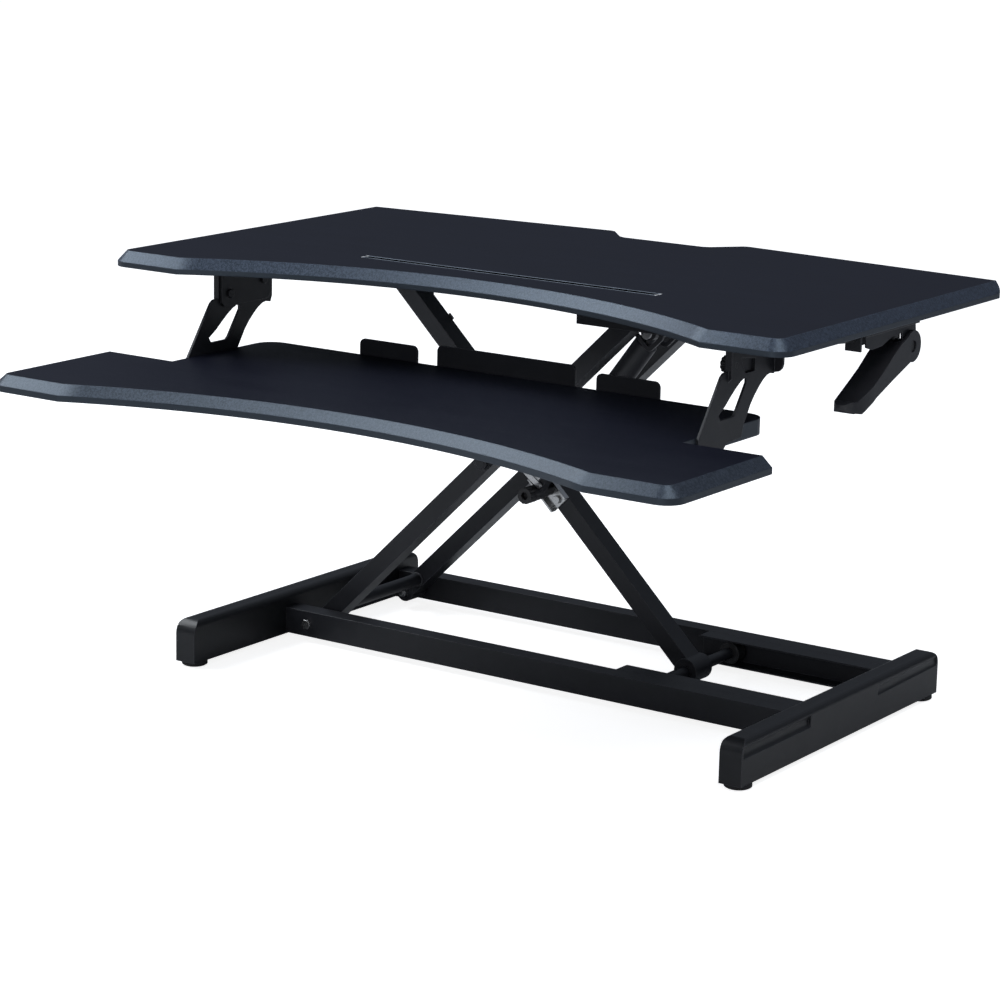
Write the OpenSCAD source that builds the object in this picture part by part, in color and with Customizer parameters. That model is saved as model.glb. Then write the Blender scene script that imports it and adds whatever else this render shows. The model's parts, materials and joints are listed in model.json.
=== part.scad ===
// Standing desk converter: worktop and keyboard tray on a single X-lift.
// Frame: X to the user's right, Y to the back, Z up, origin on the desk under
// the middle of the whole object. Drawn raised, lift angle at rest.

/* [Worktop] */
// Overall width of the worktop and of the keyboard tray
top_width = 900; // [880:1:920]
// Height of the worktop surface above the desk when raised
top_z = 502; // [500:1:504]
// Thickness of the worktop board
top_thick = 18; // [16:1:18]
// Width of the sloping bevel on the worktop edge, in plan
bevel_width = 11; // [6:1:14]
// Height of the sloping bevel on the worktop edge
bevel_height = 12; // [6:1:13]
// Radius of the concave front edge, at the top surface
top_arc_radius = 682; // [660:1:720]
// Front-to-back position of the straight front edge, at the top surface
top_front_y = -151; // [-155:1:-145]
// Depth of the device groove
groove_depth = 9; // [6:1:11]
// Width of the device groove
groove_width = 10; // [8:0.5:14]
// Length of the device groove
groove_length = 400; // [300:5:420]

/* [Keyboard tray] */
// Height of the tray surface above the desk when raised
tray_z = 386; // [384:1:390]
// Thickness of the tray board
tray_thick = 18; // [15:1:18]
// Half-width of the narrower rear part of the tray
tray_rear_half = 343; // [343:1:343]
// Front-to-back position of the tray's straight front edge, at its surface
tray_front_y = -357; // [-357:1:-350]
// Radius of the tray's concave front edge, at its surface
tray_arc_radius = 854; // [830:1:900]

/* [Base] */
// Length of each foot
foot_length = 454; // [440:1:470]
// Width of each foot
foot_width = 28; // [26:1:30]
// Height of the top of each foot
foot_top = 58; // [54:1:60]
// Wall thickness of the foot shells
foot_wall = 3; // [2:0.5:4]
// Half distance between the inner faces of the feet
foot_inner = 364; // [364:1:364]

/* [X-lift] */
// Angle of the arms above the horizontal as drawn
lift_angle = 44.39; // [44.39:0.01:44.39]
// Arm length from the lower pivots to the centre pivot
arm_lower = 333; // [333:0.5:333]
// Arm length from the centre pivot to the upper pivots
arm_upper = 290; // [290:0.5:290]
// Arm tube width, in the plane of the X
arm_width = 21; // [20:0.5:22]
// Arm tube depth, front to back
arm_depth = 28; // [26:0.5:28]
// Arm tube wall
arm_wall = 2; // [1.5:0.25:3]
// Roller radius
roller_radius = 13.6; // [12.6:0.2:13.8]

/* [Gas spring] */
// Cylinder radius
gas_radius = 14; // [12:0.5:14]
// Piston rod radius
rod_radius = 5; // [4:0.5:5]

/* [Hidden] */
$fn = 48;
overlap = 0.01;

BLACK = [0.10, 0.105, 0.12];
BOARD = [0.13, 0.14, 0.17];
ZINC = [0.72, 0.73, 0.74];
RUBBER = [0.05, 0.05, 0.055];
PLASTIC = [0.07, 0.07, 0.075];
BUSH = [0.85, 0.85, 0.82];
ROLLER = [0.16, 0.16, 0.17];
POLISHED = [0.8, 0.81, 0.82];

// Boards
half_width = top_width/2;
top_under = top_z - top_thick;
tray_under = tray_z - tray_thick;

// Base; the rear rail mirrors the front one about mid_y
mid_y = 192;
rail_y = 62;
rail_depth = 24;
rail_back_y = rail_y + rail_depth;
rear_rail_y = 2*mid_y - rail_back_y;
rail_bottom = 8;
rail_top = 40;
rail_mid_z = (rail_bottom + rail_top)/2;
rail_bolt_ys = [for (y = [rail_y, rear_rail_y]) y + rail_depth/2];

// Joints of the X, as [x, z]
arm_dir = [cos(lift_angle), sin(lift_angle)];
outer_pivot = [-330, rail_mid_z];
centre = outer_pivot + arm_lower*arm_dir;
lower_roller_at = [outer_pivot[0] + 2*arm_lower*arm_dir[0], rail_mid_z];
upper_roller_at = centre + arm_upper*arm_dir;
hinge = [centre[0] - arm_upper*arm_dir[0], upper_roller_at[1]];

// Arms, front to back
arm_half_span = 100; // mid_y to the outer faces of the outer arms
arm_half_gap = arm_half_span - arm_depth;
arm_y = mid_y - arm_half_span;
arm_back_y = arm_y + arm_depth;
centre_half = arm_depth/2;
centre_y = mid_y - centre_half;

// Gas spring: eyes as [x, z], and the line from the top eye to the lower one
gas_y = 150;
spring_low = [-53.5, 216];
spring_top = [105, 430];
spring_length = norm(spring_low - spring_top);
spring_dir = (spring_low - spring_top)/spring_length;
spring_angle = atan2(spring_dir[1], spring_dir[0]);

// Shafts, and front roller faces as [front, rear]
pivot_bolt_radius = 4;
axle_radius = 5;
shaft_radius = 6;
lower_roller_y = [92, 109.5];
upper_roller_y = [69, 88.8];

// Sheet metal under the boards
track_gap = 0.002; // between the upper tracks and the worktop
track_plate = 2;
frame_plate = 3;
thin_plate = 2.5;
tray_flange = 2;
crossbar_x = [300, 326];
cable_x = 432.5; // line of the cable at the lever

// Screws up into the boards: [x, y, depth of the head's seat below the board]
frame_screws = concat(
  [for (x = [70, 176, 282], y = [57, 2*mid_y-57]) [x, y, track_plate+2*track_gap]],
  [for (y = [72, 2*mid_y-72]) [(crossbar_x[0]+crossbar_x[1])/2, y, frame_plate]],
  [for (x = [-34, 34], y = [-74, 74]) [hinge[0]+x, mid_y+y, frame_plate]],
  [for (x = [-324, 324], y = [-80, -12]) [x, y, thin_plate]]);
lever_screws = [for (y = [30, 78]) [cable_x, y, thin_plate]];
top_screws = concat(frame_screws, lever_screws);
tray_screw_list = concat(
  [for (x = [-190, -141, -80, 0, 80, 139, 188]) [x, -14, thin_plate]],
  [for (x = [-330, 330], y = [-138, -110]) [x, y, tray_flange]]);

// ---- helpers -------------------------------------------------------------
module box(x0, x1, y0, y1, z0, z1) translate([x0, y0, z0]) cube([x1-x0, y1-y0, z1-z0]);

// Cylinders along one axis; the point holds the other two coordinates in
// alphabetical order. Six sides make a hexagon head or nut.
module cyl_x(point, x0, x1, radius, sides = 48)
  translate([x0, point[0], point[1]]) rotate([0, 90, 0])
    cylinder(h = x1-x0, r = radius, $fn = sides);
module cyl_y(point, y0, y1, radius, sides = 48)
  translate([point[0], y1, point[1]]) rotate([90, 0, 0])
    cylinder(h = y1-y0, r = radius, $fn = sides);
module cyl_z(point, z0, z1, radius, sides = 48)
  translate([point[0], point[1], z0]) cylinder(h = z1-z0, r = radius, $fn = sides);
// cylinder along Y reaching equally to both sides of mid_y
module bar(point, reach, radius) cyl_y(point, mid_y-reach, mid_y+reach, radius);

// (x, z) profile extruded along Y, and (y, z) profile extruded along X
module extrude_y(y0, y1)
  translate([0, y1, 0]) rotate([90, 0, 0]) linear_extrude(y1-y0) children();
module extrude_x(x0, x1)
  translate([x0, 0, 0]) rotate([90, 0, 90]) linear_extrude(x1-x0) children();

// mirrored copies
module at_left() mirror([1, 0, 0]) children();
module both_sides() for (s = [0, 1]) mirror([s, 0, 0]) children();
module at_rear() translate([0, 2*mid_y, 0]) mirror([0, 1, 0]) children();
module front_and_rear() {
  children();
  at_rear() children();
}

// local x runs from a point [x, z] at an angle above the horizontal
module along(point, angle) translate([point[0], 0, point[1]]) rotate([0, -angle, 0]) children();
module along_centre_arm(point) along(point, 180-lift_angle) children();

// points on a circle, in equal steps
function arc(centre, radius, start, end, steps) = [for (i = [0:steps])
  centre + radius*[cos(start+(end-start)*i/steps), sin(start+(end-start)*i/steps)]];

// rectangle with round corners
module round_rect(x0, y0, x1, y1, radius) {
  translate([x0+radius, y0]) square([x1-x0-2*radius, y1-y0]);
  translate([x0, y0+radius]) square([x1-x0, y1-y0-2*radius]);
  for (x = [x0+radius, x1-radius], y = [y0+radius, y1-radius])
    translate([x, y]) circle(r = radius, $fn = 32);
}

// holes for a list of screws: pilots in a board, clearance in the plates
module screw_holes(list, z0, z1, radius) for (s = list) cyl_z(s, z0, z1, radius, 24);
module pilots(list, under) screw_holes(list, under-0.1, under+8.5, 2);
module top_plate_holes() screw_holes(top_screws, top_under-4, top_under+1, 2.3);
module tray_plate_holes() screw_holes(tray_screw_list, tray_under-5, tray_under+1, 2.3);

// upright screw with its cross-slotted head below the origin plane
module pan_screw(length) difference() {
  union() {
    translate([0, 0, -0.1]) cylinder(h = length, r = 2, $fn = 24);
    translate([0, 0, -2.6]) cylinder(h = 2.6, r1 = 3.2, r2 = 4.2, $fn = 32);
  }
  for (a = [0, 90]) rotate([0, 0, a]) translate([-2.4, -0.5, -3]) cube([4.8, 1, 1.6]);
}
module top_screw_set(list)
  for (s = list) translate([s[0], s[1], top_under-s[2]]) pan_screw(s[2]+8);

// ---- boards --------------------------------------------------------------
corner_radius = 22;
corner_steps = 6;

// the two round front corners, left to right
function front_corners(front) = concat(
  arc([-half_width+corner_radius, front+corner_radius], corner_radius, 180, 270, corner_steps),
  arc([half_width-corner_radius, front+corner_radius], corner_radius, 270, 360, corner_steps));

// cutter for a bevel along a straight edge at x = edge, reaching equally both ways
module bevel_cut(edge, reach, z, width, height) extrude_y(-reach, reach)
  polygon([[edge-2*width, z+height], [edge+width, z-2*height], [edge+width, z+height]]);

// bevels of the sides, front corners, straight front edges and concave front edge
module edge_bevels(front, back, arc_y, radius, z, width, height) {
  both_sides() {
    translate([0, (front+back)/2, 0])
      bevel_cut(half_width, (back-front)/2, z, width, height);
    for (i = [0:corner_steps-1])
      translate([half_width-corner_radius, front+corner_radius, 0])
        rotate([0, 0, -90+(i+0.5)*90/corner_steps])
          bevel_cut(corner_radius*cos(45/corner_steps), 14, z, width, height);
  }
  translate([0, front, 0]) rotate([0, 0, -90]) bevel_cut(0, half_width, z, width, height);
  translate([0, arc_y, z-height-1])
    cylinder(h = height+4, r1 = radius-width-width/height, r2 = radius+3*width/height, $fn = 360);
}

top_edge_y = top_front_y - bevel_width;
top_arc_y = -734.5;
groove_y = -1;
// right half of the rear notch, (x, y) from its outer end inwards
notch = [[98, 369], [92, 367], [64, 335], [56, 331]];
// the rear edge slants from each rear corner to the notch
rear_corner = [half_width, 339];
rear_radius = 14;
slant = (notch[0] - rear_corner)/norm(notch[0] - rear_corner);
slant_normal = [slant[1], -slant[0]];
rear_arc_x = half_width - rear_radius;
rear_arc_y = (slant_normal*rear_corner - rear_radius - slant_normal[0]*rear_arc_x)
  /slant_normal[1];
rear_arc_end = atan2(slant_normal[1], slant_normal[0]);

module worktop_outline() difference() {
  polygon(concat(
    front_corners(top_edge_y),
    arc([rear_arc_x, rear_arc_y], rear_radius, 0, rear_arc_end, corner_steps),
    notch,
    [for (i = [3:-1:0]) [-notch[i][0], notch[i][1]]],
    arc([-rear_arc_x, rear_arc_y], rear_radius, 180-rear_arc_end, 180, corner_steps)));
  translate([0, top_arc_y]) circle(r = top_arc_radius - bevel_width, $fn = 360);
}
module groove_outline() {
  end_radius = groove_width/2;
  end_x = groove_length/2 - end_radius;
  polygon(concat(
    arc([end_x, groove_y], end_radius, -90, 90, 8),
    arc([-end_x, groove_y], end_radius, 90, 270, 8)));
}
module worktop() color(BOARD) difference() {
  translate([0, 0, top_under]) linear_extrude(top_thick) worktop_outline();
  edge_bevels(front = top_edge_y, back = 420, arc_y = top_arc_y, radius = top_arc_radius,
    z = top_z, width = bevel_width, height = bevel_height);
  translate([0, 0, top_z-groove_depth]) linear_extrude(groove_depth+1) groove_outline();
  pilots(top_screws, top_under);
}

tray_bevel_width = 12;
tray_bevel_height = 11;
tray_edge_y = tray_front_y - tray_bevel_width;
tray_rear_y = 0;
tray_step_y = -177; // where the tray narrows
tray_rear_radius = 24;
tray_arc_y = -1137;

module tray_outline() difference() {
  corner_x = tray_rear_half - tray_rear_radius;
  corner_y = tray_rear_y - tray_rear_radius;
  polygon(concat(
    front_corners(tray_edge_y),
    [[half_width, tray_step_y], [tray_rear_half, tray_step_y]],
    arc([corner_x, corner_y], tray_rear_radius, 0, 90, corner_steps),
    arc([-corner_x, corner_y], tray_rear_radius, 90, 180, corner_steps),
    [[-tray_rear_half, tray_step_y], [-half_width, tray_step_y]]));
  translate([0, tray_arc_y]) circle(r = tray_arc_radius - tray_bevel_width, $fn = 360);
}
module keyboard_tray() color(BOARD) difference() {
  translate([0, 0, tray_under]) linear_extrude(tray_thick) tray_outline();
  edge_bevels(front = tray_edge_y, back = -100, arc_y = tray_arc_y, radius = tray_arc_radius,
    z = tray_z, width = tray_bevel_width, height = tray_bevel_height);
  pilots(tray_screw_list, tray_under);
}

// upright stops along the tray's rear edge: [left x, right x, top z]
stops = [[-207, -124, 405], [-96, 94, 410], [122, 205, 405]];
// one stop: an L of sheet, its flat leg under the tray
module stop_piece(x0, x1, top) {
  base = tray_under - thin_plate;
  extrude_y(tray_rear_y, tray_rear_y+thin_plate) {
    round_rect(x0, base, x1, top, 7);
    translate([x0, base]) square([x1-x0, 12]);
  }
  box(x0+6, x1-6, tray_rear_y-24, tray_rear_y+overlap, base, tray_under);
}
module tray_stops() color(BLACK) difference() {
  for (s = stops) stop_piece(s[0], s[1], s[2]);
  tray_plate_holes();
}
module tray_screws() color(BLACK)
  for (s = tray_screw_list) translate([s[0], s[1], tray_under-s[2]]) pan_screw(10);

// ---- base ----------------------------------------------------------------
foot_y = -114;
foot_back_y = foot_y + foot_length;
foot_outer = foot_inner + foot_width;
foot_mid_x = foot_inner + foot_width/2;
foot_front_radius = 18;
foot_rear_radius = 16;
pad_ys = [foot_y+18, foot_back_y-18];
pad_boss = 36;
pad_height = 6;

// foot shape between faces x0 and x1, its outline drawn in by inset, open below z0
module foot_solid(x0, x1, inset, z0) intersection() {
  edge = 8 - inset*0.6;
  edge_z = foot_top - inset - edge;
  extrude_x(x0, x1) polygon(concat(
    [[foot_y+inset, z0]],
    arc([foot_y+foot_front_radius, foot_top-foot_front_radius],
      foot_front_radius-inset, 180, 90, 8),
    arc([foot_back_y-foot_rear_radius, foot_top-foot_rear_radius],
      foot_rear_radius-inset, 90, 0, 8),
    [[foot_back_y-inset, z0]]));
  extrude_y(foot_y-1, foot_back_y+1) polygon(concat(
    [[x0, z0]],
    arc([x0+edge, edge_z], edge, 180, 90, 5),
    arc([x1-edge, edge_z], edge, 90, 0, 5),
    [[x1, z0]]));
}
module foot_body() difference() {
  foot_solid(foot_inner, foot_outer, 0, pad_height);
  // hollow underside, with solid bosses for the rubber feet and the rails
  difference() {
    foot_solid(foot_inner+foot_wall, foot_outer-foot_wall-1, foot_wall, 1);
    box(foot_inner, foot_outer, foot_y, foot_y+pad_boss, 0, 60);
    box(foot_inner, foot_outer, foot_back_y-pad_boss, foot_back_y, 0, 60);
    for (y = [rail_y, rear_rail_y])
      box(foot_inner, foot_inner+15, y-4, y+rail_depth+4, 0, 60);
  }
  // shallow scoops along the outer top edge: [x past the face, y, z, tilt]
  for (s = [[7.5, 3, 44, -90], [8.6, 305, 43, -89]])
    translate([foot_outer+s[0], foot_y+s[1], s[2]]) rotate([s[3], 0, 0])
      cylinder(h = 146, r = 10.5, $fn = 64);
  // stud holes for the rubber feet
  for (y = pad_ys) cyl_z([foot_mid_x, y], 1, 20, 3, 24);
  // room for the rear bolt's head beside the rear pad boss
  box(foot_inner+15, foot_inner+23.5, rear_rail_y+5, rear_rail_y+19, 1, 33);
  // bolt holes into the rails
  for (y = rail_bolt_ys) cyl_x([y, rail_mid_z], foot_inner-1, foot_inner+17, 3.2, 24);
}
module foot_right() color(BLACK) foot_body();
module foot_left() color(BLACK) at_left() foot_body();

// round pads, each with a stud up into the foot
module rubber_feet() color(RUBBER) both_sides() for (y = pad_ys)
  translate([foot_mid_x, y, 0]) rotate_extrude($fn = 48)
    polygon([[0, 0], [13, 0], [15.5, 1.6], [15.5, 4.8], [14.5, pad_height],
      [2.8, pad_height], [2.8, 18], [0, 18]]);

// rectangular tube along X with solid ends
module rail(y0) difference() {
  wall = 1.6;
  solid_end = 14;
  box(-foot_inner, foot_inner, y0, y0+rail_depth, rail_bottom, rail_top);
  box(-foot_inner+solid_end, foot_inner-solid_end, y0+wall, y0+rail_depth-wall,
    rail_bottom+wall, rail_top-wall);
  both_sides()
    cyl_x([y0+rail_depth/2, rail_mid_z], foot_inner-13, foot_inner+1, 2.9, 24);
  cyl_y(outer_pivot, y0-1, y0+rail_depth+1, pivot_bolt_radius+0.05);
}
module front_rail() color(BLACK) rail(rail_y);
module rear_rail() color(BLACK) rail(rear_rail_y);
module rail_bolts() color(ZINC) both_sides() for (y = rail_bolt_ys) {
  cyl_x([y, rail_mid_z], foot_inner-12, foot_inner+15, 2.85, 24);
  cyl_x([y, rail_mid_z], foot_inner+15, foot_inner+19.5, 5, 6);
}

// channel track: wall at the front, flanges above and below, open to the back
track_depth = 24;
track_height = rail_top - rail_bottom;
module track_profile() difference() {
  square([track_depth, track_height]);
  translate([2, 2]) square([track_depth, track_height-4]);
}
// lower track behind the front rail, its upper left corner cut off
module lower_track() difference() {
  extrude_x(97, foot_inner) translate([rail_back_y, rail_bottom]) track_profile();
  extrude_y(rail_back_y-5, rear_rail_y+5)
    polygon([[96, rail_top+1], [106, rail_top+1], [96, rail_top-9]]);
}
module lower_track_front() color(BLACK) lower_track();
module lower_track_rear() color(BLACK) at_rear() lower_track();

// bolts through the rails into the lower ends of the outer arms, with spacers
module lower_pivot_bolts() color(ZINC) front_and_rear() {
  cyl_y(outer_pivot, rail_y, arm_back_y+10, pivot_bolt_radius);
  cyl_y(outer_pivot, rail_y-4.2, rail_y, 6.5, 6);
  cyl_y(outer_pivot, rail_back_y, arm_y-0.3, 7, 32);
}
module lower_pivot_nuts() color(ZINC) front_and_rear() difference() {
  cyl_y(outer_pivot, arm_back_y+0.3, arm_back_y+6.3, 6.5, 6);
  cyl_y(outer_pivot, arm_back_y-1, arm_back_y+12, pivot_bolt_radius);
}

// ---- outer frame of the X ------------------------------------------------
// hollow arm tube, local x along the arm
module arm_tube(y0) difference() {
  length = arm_lower + arm_upper;
  half = arm_width/2;
  box(0, length, y0, y0+arm_depth, -half, half);
  box(-1, length+1, y0+arm_wall, y0+arm_depth-arm_wall, -half+arm_wall, half-arm_wall);
}
// front outer arm, with round bosses through both ends and a sleeve in the middle
module outer_arm() difference() {
  union() {
    along(outer_pivot, lift_angle) arm_tube(arm_y);
    cyl_y(outer_pivot, arm_y-0.2, arm_back_y+0.2, 13);
    cyl_y(upper_roller_at, arm_y-0.2, arm_back_y-1, arm_width/2+1.5);
    cyl_y(centre, arm_y+1, arm_back_y-1, 8);
  }
  cyl_y(outer_pivot, arm_y-1, arm_back_y+1, pivot_bolt_radius+0.05);
  cyl_y(upper_roller_at, arm_y-1, arm_back_y+1, axle_radius);
  cyl_y(centre, arm_y-1, arm_back_y+1, shaft_radius);
}
module outer_arm_front() color(BLACK) outer_arm();
module outer_arm_rear() color(BLACK) at_rear() outer_arm();

// tube joining the arms' lower ends, beside the pivot so the bolts stay clear
cross_tube_at = outer_pivot + 27*arm_dir;
module lower_cross_tube() color(BLACK) difference() {
  bar(cross_tube_at, arm_half_gap, 8);
  bar(cross_tube_at, arm_half_gap-4, 6.4);
}

// plate from the upper cross tube, with a window round the gas spring's top pin
lug_gap = 15.5;
lug_thick = 3.5;
module lug(y0) extrude_y(y0, y0+lug_thick) difference() {
  union() {
    translate(upper_roller_at) circle(r = 12, $fn = 48);
    translate(spring_top) rotate(lift_angle) {
      round_rect(-15, -19, 17, 20, 8);
      polygon([[0, 20], [9, 20], [24, 26.2], [33, 3.3], [17, -11], [8, -19]]);
    }
  }
  translate(spring_top) rotate(lift_angle) round_rect(-10, -14, 11.6, 14.6, 5.5);
}
// tube round the roller axle between the arms' upper ends
module upper_cross_tube() color(BLACK) difference() {
  union() {
    bar(upper_roller_at, arm_half_gap, 9);
    lug(gas_y-lug_gap-lug_thick);
    lug(gas_y+lug_gap);
  }
  bar(upper_roller_at, arm_half_gap+1, 7);
}

// shaft through all three arms, thicker between them
module centre_pivot_shaft() color(ZINC) {
  bar(centre, arm_half_span+8, shaft_radius);
  front_and_rear() cyl_y(centre, arm_back_y, centre_y-3, 9);
}
// hexagon nuts with round flanges
module centre_pivot_nuts() color(BLACK) front_and_rear() difference() {
  union() {
    cyl_y(centre, arm_y-1.6, arm_y-0.002, 11);
    cyl_y(centre, arm_y-7.4, arm_y-1.6, 9.4, 6);
  }
  cyl_y(centre, arm_y-9, arm_y+1, shaft_radius);
}
// axle through both arms' upper ends, a collar at each side of each roller
module upper_axle() color(ZINC) {
  end_y = upper_roller_y[0] - 0.5;
  bar(upper_roller_at, mid_y-end_y, axle_radius);
  front_and_rear() {
    cyl_y(upper_roller_at, end_y-1.5, end_y+0.1, 7.5, 32);
    cyl_y(upper_roller_at, upper_roller_y[1]+0.4, arm_y-0.2, 7.5, 32);
  }
}

// ---- centre arm ----------------------------------------------------------
lower_boss_bore = 7;
bush_radius = 8.5;
hinge_tube_radius = 11;
bracket_bolt_xs = [-17, 17]; // along the arm, either side of the spring pin
module centre_arm() color(BLACK) difference() {
  union() {
    along_centre_arm(lower_roller_at) arm_tube(centre_y);
    bar(lower_roller_at, centre_half+4, 15.5);
    bar(centre, centre_half+1.5, 14);
  }
  bar(lower_roller_at, centre_half+5, lower_boss_bore);
  bar(centre, centre_half+5, bush_radius);
  bar(hinge, centre_half+5, hinge_tube_radius);
  along_centre_arm(spring_low) for (x = bracket_bolt_xs)
    cyl_y([x, 0], centre_y-3, centre_y+3, 3.05, 32);
}
// flanged bushes in the centre boss
module centre_bushes() color(BUSH) front_and_rear() difference() {
  union() {
    cyl_y(centre, centre_y-1.5, mid_y-2, bush_radius);
    cyl_y(centre, centre_y-2.9, centre_y-1.5, 11.5);
  }
  cyl_y(centre, centre_y-5, mid_y+1, shaft_radius+0.06);
}
// cross axle through the lower boss, thinner at both ends for the rollers
module lower_axle() color(BLACK) {
  shoulder_y = lower_roller_y[1] + 1;
  end_y = lower_roller_y[0] - 0.8;
  bar(lower_roller_at, mid_y-shoulder_y, lower_boss_bore);
  front_and_rear() {
    cyl_y(lower_roller_at, end_y, shoulder_y+0.1, axle_radius);
    cyl_y(lower_roller_at, end_y-1.6, end_y+0.1, 7.5, 32);
  }
}
// wide hinge tube across the upper end
module upper_hinge_tube() color(BLACK) difference() {
  bar(hinge, 62, hinge_tube_radius);
  bar(hinge, 63, shaft_radius+0.06);
}
// channel bracket on the front face, carrying the spring's lower pin
module spring_bracket() color(ZINC) along_centre_arm(spring_low) difference() {
  union() {
    box(-25, 25, centre_y-2.5, centre_y, -14, 14);
    for (z = [-14, 11.5]) box(-25, 25, centre_y-9, centre_y, z, z+2.5);
  }
  for (x = bracket_bolt_xs) cyl_y([x, 0], centre_y-4, centre_y+1, 3.05, 32);
  cyl_y([0, 0], centre_y-4, centre_y+1, 4, 32);
}
module spring_bracket_bolts() color(ZINC) along_centre_arm(spring_low)
  for (x = bracket_bolt_xs) {
    cyl_y([x, 0], centre_y-3, centre_y+4, 3, 32);
    cyl_y([x, 0], centre_y-6.1, centre_y-2.5, 5.4, 6);
  }

// ---- rollers -------------------------------------------------------------
// front roller between two faces, its rims stepped in
module roller(point, faces) difference() {
  union() {
    cyl_y(point, faces[0]+1, faces[1]-1, roller_radius, 64);
    cyl_y(point, faces[0], faces[1], roller_radius-1.5, 64);
  }
  cyl_y(point, faces[0]-1, faces[1]+1, axle_radius+0.06);
}
module lower_roller_front() color(ROLLER) roller(lower_roller_at, lower_roller_y);
module lower_roller_rear() color(ROLLER) at_rear() roller(lower_roller_at, lower_roller_y);
module upper_roller_front() color(ROLLER) roller(upper_roller_at, upper_roller_y);
module upper_roller_rear() color(ROLLER) at_rear() roller(upper_roller_at, upper_roller_y);

// ---- gas spring ----------------------------------------------------------
eye_radius = 9.5;
top_pin_radius = 5;
spring_pin_radius = 4;
valve_pin_radius = 1.5;
valve_pin_at = 14; // from the lower eye towards the top eye

// local z runs from the upper eye down to the rod end, starting at a distance
module spring_axis(start = 0) translate([spring_top[0], gas_y, spring_top[1]])
  rotate([0, -spring_angle, 0]) translate([start, 0, 0]) rotate([0, 90, 0]) children();
// local x runs up the spring from the lower eye
module up_spring() along(spring_low, spring_angle+180) children();
module rod_solid()
  spring_axis() translate([0, 0, 100])
    cylinder(h = spring_length-100-9, r = rod_radius, $fn = 48);

module gas_cylinder() color(BLACK) spring_axis() difference() {
  union() {
    translate([0, 0, 20]) cylinder(h = 150, r = gas_radius, $fn = 64);
    translate([0, 0, 17]) cylinder(h = 3, r1 = gas_radius-3, r2 = gas_radius, $fn = 64);
    translate([0, 0, 170]) cylinder(h = 3, r1 = gas_radius, r2 = gas_radius-2.5, $fn = 64);
  }
  translate([0, 0, 32]) cylinder(h = 150, r = rod_radius+0.05, $fn = 48);
}
module gas_top_eye() color(BLACK) difference() {
  union() {
    spring_axis() cylinder(h = 17, r = 7, $fn = 32);
    cyl_y(spring_top, gas_y-14, gas_y+14, eye_radius);
  }
  cyl_y(spring_top, gas_y-15, gas_y+15, top_pin_radius+0.06);
}
module gas_top_pin() color(ZINC) {
  reach = lug_gap + lug_thick;
  cyl_y(spring_top, gas_y-reach, gas_y+reach, top_pin_radius);
  for (y = [gas_y-reach-2, gas_y+reach]) cyl_y(spring_top, y, y+2, 7, 32);
}
module gas_rod() color(POLISHED) rod_solid();
module gas_rod_end() color(BLACK) difference() {
  union() {
    spring_axis(spring_length-30) cylinder(h = 22, r = 7.5, $fn = 6);
    cyl_y(spring_low, gas_y-10, gas_y+9.5, eye_radius);
  }
  rod_solid();
  cyl_y(spring_low, gas_y-11, gas_y+11, spring_pin_radius+0.06);
  up_spring() cyl_y([valve_pin_at, 0], gas_y-12, gas_y, valve_pin_radius, 24);
}
// pin with a round socket head in front and a collar behind the rod end
module spring_pin() color(PLASTIC) difference() {
  union() {
    cyl_y(spring_low, gas_y-27, gas_y-10.3, 10);
    cyl_y(spring_low, gas_y-10.4, centre_y, spring_pin_radius);
    cyl_y(spring_low, gas_y+9.8, centre_y-2.5, 8);
  }
  cyl_y(spring_low, gas_y-28, gas_y-21, 5, 6);
  // grip flutes round the head
  for (a = [0:30:330])
    cyl_y(spring_low + 10.9*[cos(a), sin(a)], gas_y-28, gas_y-16, 1.6, 16);
}
// small arm on the rod end that works the spring's valve
module release_arm() color(ZINC) up_spring() translate([valve_pin_at, 0, 0]) difference() {
  length = 32;
  union() {
    box(-3.5, 3.5, gas_y-10.4, gas_y-8, 0, length);
    cyl_y([0, 0], gas_y-10.4, gas_y-8, 3.5, 32);
    cyl_y([0, length], gas_y-10.4, gas_y-8, 5.5, 32);
  }
  cyl_y([0, length], gas_y-17, gas_y-5, 2, 32);
  cyl_y([0, 0], gas_y-17, gas_y-5, valve_pin_radius+0.06, 32);
}
module release_arm_pin() color(ZINC) up_spring() {
  cyl_y([valve_pin_at, 0], gas_y-11, gas_y-6, valve_pin_radius, 32);
  cyl_y([valve_pin_at, 0], gas_y-11.8, gas_y-10.6, 3, 32);
}

// ---- upper frame under the worktop ---------------------------------------
// front upper track, hung from a flange that turns forwards under the board
module upper_track() difference() {
  track_x = [52, 300];
  track_y = 64;
  track_top = upper_roller_at[1] + track_height/2;
  union() {
    extrude_x(track_x[0], track_x[1])
      translate([track_y, track_top-track_height]) track_profile();
    extrude_x(track_x[0], track_x[1]) {
      translate([track_y, track_top-overlap])
        square([2, top_under-track_gap-track_top+overlap]);
      translate([track_y-14, top_under-track_gap-track_plate])
        square([14+overlap, track_plate]);
    }
  }
  top_plate_holes();
}
module upper_track_front() color(BLACK) upper_track();
module upper_track_rear() color(BLACK) at_rear() upper_track();

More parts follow.
